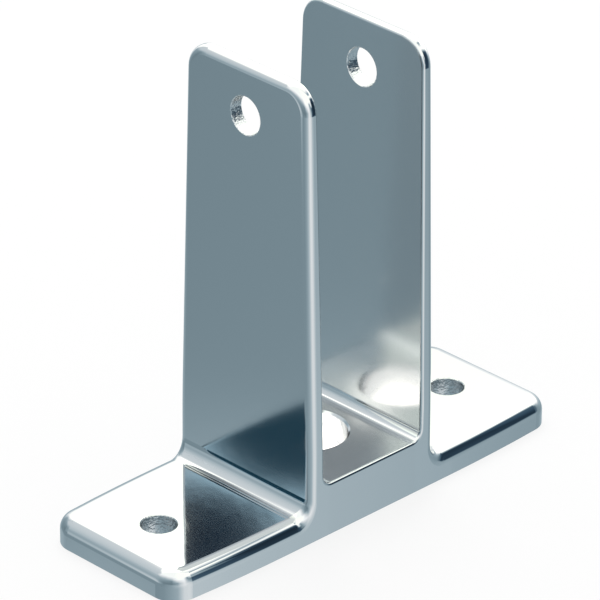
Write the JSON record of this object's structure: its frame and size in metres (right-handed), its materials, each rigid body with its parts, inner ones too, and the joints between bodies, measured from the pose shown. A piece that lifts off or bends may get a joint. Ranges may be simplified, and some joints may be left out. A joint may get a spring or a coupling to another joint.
{
  "type": "wall bracket",
  "caption": "Two-ear wall bracket with a flat screw-down base; its upright ears take the edge of a partition panel and a through bolt.",
  "frame": {"origin": "centre of the base's underside, on the wall plane", "axes": "X along the base through both wall screws and along the panel bolt, Y across the base and along the panel slot, Z away from the wall through the ears"},
  "size_m": [0.1004, 0.0354, 0.0917],
  "materials": {
    "chrome_plate": "polished chrome plate over a zinc die casting"
  },
  "bodies": {
    "root": {"bracket_casting": "chrome_plate"}
  },
  "joints": []
}
